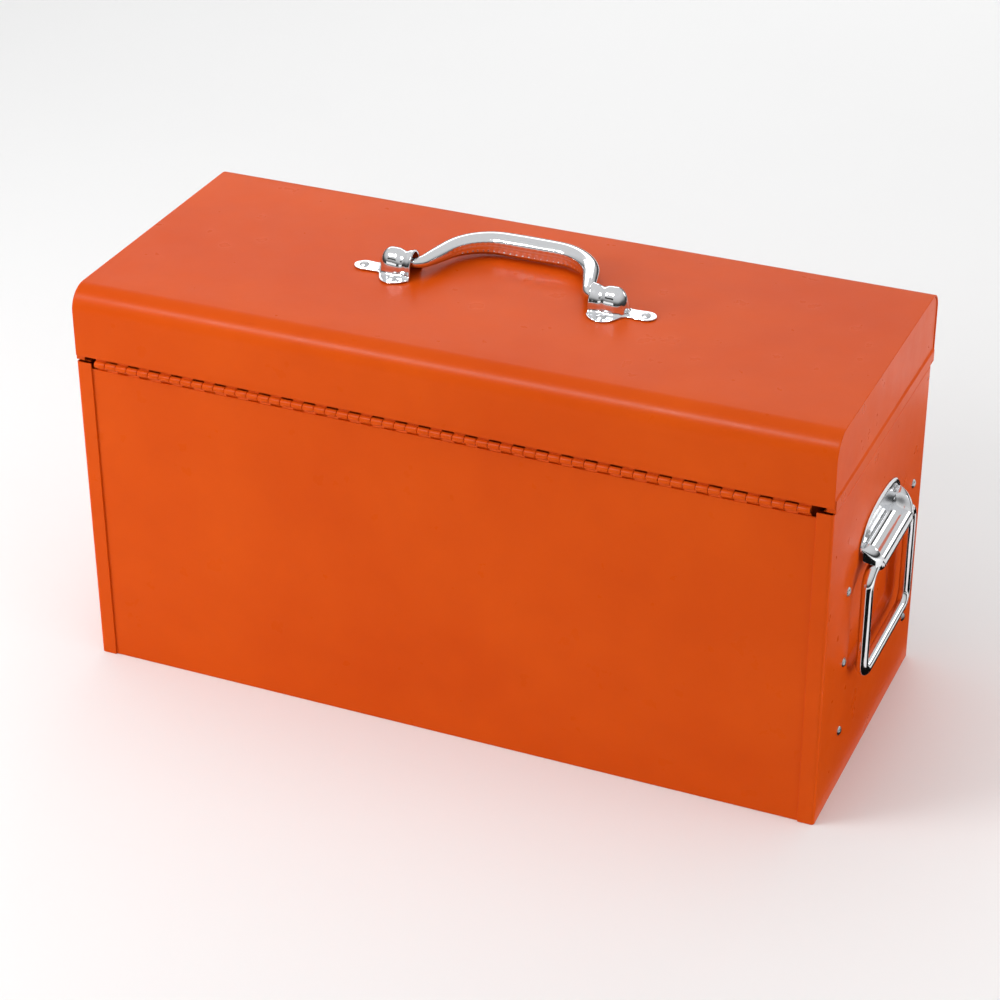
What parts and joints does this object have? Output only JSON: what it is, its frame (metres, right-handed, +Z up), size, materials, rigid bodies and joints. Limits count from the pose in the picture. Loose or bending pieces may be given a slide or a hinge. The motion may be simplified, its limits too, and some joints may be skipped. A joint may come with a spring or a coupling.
{
  "type": "tool chest",
  "caption": "Portable steel tool chest with hinged lid, lift-out tray, sliding drawers, swinging top handle, drop handles on the ends and draw latches.",
  "frame": {"origin": "centre of the case's underside", "axes": "+X along the length, -Y towards the drawers and latches, +Z up"},
  "size_m": [0.549, 0.2348, 0.2979],
  "materials": {
    "orange_paint": "satin",
    "chrome": "polished",
    "zinc_steel": "satin"
  },
  "bodies": {
    "case": {"bottom_panel": "orange_paint", "rear_panel": "orange_paint", "left_end_panel": "orange_paint", "right_end_panel": "orange_paint", "front_upper_panel": "orange_paint", "compartment_floor": "orange_paint", "left_tray_rest": "orange_paint", "right_tray_rest": "orange_paint", "hinge_lower_leaf": "orange_paint", "hinge_pin": "zinc_steel", "left_runner_rivets": "zinc_steel", "right_runner_rivets": "zinc_steel", "left_handle_rivets": "zinc_steel", "right_handle_rivets": "zinc_steel", "left_side_plate": "chrome", "right_side_plate": "chrome", "left_latch_base": "zinc_steel", "right_latch_base": "zinc_steel", "latch_rivets": "zinc_steel", "lower_left_runner": "zinc_steel", "lower_right_runner": "zinc_steel", "middle_left_runner": "zinc_steel", "middle_right_runner": "zinc_steel", "upper_left_runner": "zinc_steel", "upper_right_runner": "zinc_steel"},
    "lid": {"lid_shell": "orange_paint", "lid_left_end": "orange_paint", "lid_right_end": "orange_paint", "hinge_upper_leaf": "orange_paint", "lid_front_trim": "chrome", "left_handle_cap": "chrome", "right_handle_cap": "chrome", "left_cap_rivets": "zinc_steel", "right_cap_rivets": "zinc_steel", "left_latch_keeper": "zinc_steel", "right_latch_keeper": "zinc_steel"},
    "top_handle": {"top_handle_grip": "chrome"},
    "tray": {"tray_pan": "orange_paint", "tray_handle": "zinc_steel", "tray_handle_rivets": "zinc_steel", "tray_dividers": "orange_paint"},
    "left_bail": {"left_side_bail": "chrome"},
    "right_bail": {"right_side_bail": "chrome"},
    "left_lever": {"left_latch_lever": "zinc_steel"},
    "right_lever": {"right_latch_lever": "zinc_steel"},
    "left_loop": {"left_latch_loop": "zinc_steel"},
    "right_loop": {"right_latch_loop": "zinc_steel"},
    "lower_drawer": {"lower_drawer_pan": "orange_paint", "lower_drawer_front": "orange_paint", "lower_drawer_pull": "chrome", "lower_drawer_slides": "zinc_steel"},
    "middle_drawer": {"middle_drawer_pan": "orange_paint", "middle_drawer_front": "orange_paint", "middle_drawer_pull": "chrome", "middle_drawer_slides": "zinc_steel"},
    "upper_drawer": {"upper_drawer_pan": "orange_paint", "upper_drawer_front": "orange_paint", "upper_drawer_pull": "chrome", "upper_drawer_slides": "zinc_steel"}
  },
  "joints": [
    {"name": "lid_hinge", "type": "hinge", "parent": "case", "child": "lid", "pos_m": [0, 0.1076, 0.2289], "axis": [-1, 0, 0], "range_deg": [0, 100]},
    {"name": "tray_lift", "type": "slide", "parent": "case", "child": "tray", "axis": [0, 0, 1], "range_m": [0, 0.111]},
    {"name": "top_handle_swing", "type": "hinge", "parent": "lid", "child": "top_handle", "pos_m": [0, 0, 0.2887], "axis": [-1, 0, 0], "range_deg": [0, 180]},
    {"name": "lower_drawer_slide", "type": "slide", "parent": "case", "child": "lower_drawer", "axis": [0, -1, 0], "range_m": [0, 0.165]},
    {"name": "middle_drawer_slide", "type": "slide", "parent": "case", "child": "middle_drawer", "axis": [0, -1, 0], "range_m": [0, 0.165]},
    {"name": "upper_drawer_slide", "type": "slide", "parent": "case", "child": "upper_drawer", "axis": [0, -1, 0], "range_m": [0, 0.165]},
    {"name": "left_bail_swing", "type": "hinge", "parent": "case", "child": "left_bail", "pos_m": [-0.2685, 0, 0.155], "axis": [0, 1, 0], "range_deg": [0, 95]},
    {"name": "left_lever_swing", "type": "hinge", "parent": "case", "child": "left_lever", "pos_m": [-0.15, -0.1163, 0.214], "axis": [-1, 0, 0], "range_deg": [0, 90]},
    {"name": "left_loop_swing", "type": "hinge", "parent": "left_lever", "child": "left_loop", "pos_m": [-0.15, -0.1225, 0.206], "axis": [-1, 0, 0], "range_deg": [0, 90]},
    {"name": "right_bail_swing", "type": "hinge", "parent": "case", "child": "right_bail", "pos_m": [0.2685, 0, 0.155], "axis": [0, -1, 0], "range_deg": [0, 95]},
    {"name": "right_lever_swing", "type": "hinge", "parent": "case", "child": "right_lever", "pos_m": [0.15, -0.1163, 0.214], "axis": [-1, 0, 0], "range_deg": [0, 90]},
    {"name": "right_loop_swing", "type": "hinge", "parent": "right_lever", "child": "right_loop", "pos_m": [0.15, -0.1225, 0.206], "axis": [-1, 0, 0], "range_deg": [0, 90]}
  ],
  "couplings": [
    {"joint": "tray_lift", "follows": "lid_hinge", "m_per_rad": 0.063}
  ]
}
